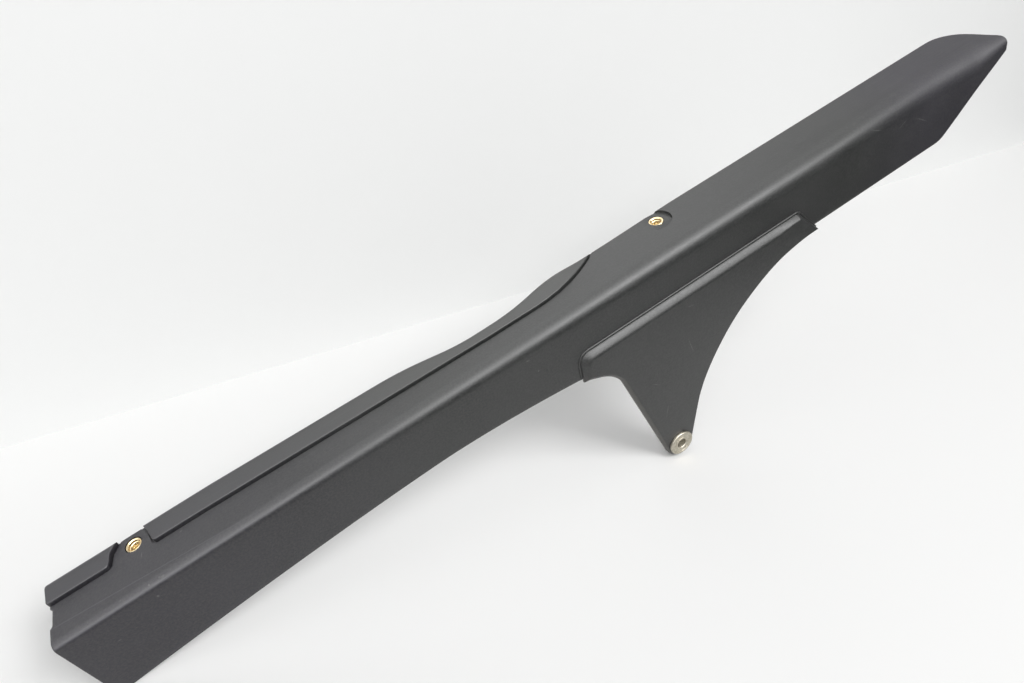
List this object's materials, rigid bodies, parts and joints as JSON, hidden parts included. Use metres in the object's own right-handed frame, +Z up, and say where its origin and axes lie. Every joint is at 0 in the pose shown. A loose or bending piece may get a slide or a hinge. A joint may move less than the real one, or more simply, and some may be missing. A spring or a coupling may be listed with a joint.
{
  "type": "motorcycle chain guard",
  "caption": "Long L-section chain guard with a raised strip on its top web, a drop arm with a flanged collar at its tip, and threaded inserts in the web",
  "frame": {"origin": "on the axis of the collar's bore in the tip of the drop arm, at the collar's back face, which seats on the swingarm", "axes": "+X runs along the ridge from the front end to the tail, +Y points inboard, away from the side wall's face, +Z points up, out of the threaded inserts"},
  "size_m": [0.5974, 0.0438, 0.1501],
  "materials": {
    "moulded_plastic": "satin black moulded polypropylene with a fine grain",
    "insert_brass": "turned brass, bright",
    "collar_steel": "turned steel with a warm grey plating"
  },
  "bodies": {
    "root": {"guard_moulding": "moulded_plastic", "front_insert": "insert_brass", "rear_insert": "insert_brass", "arm_collar": "collar_steel"}
  },
  "joints": []
}
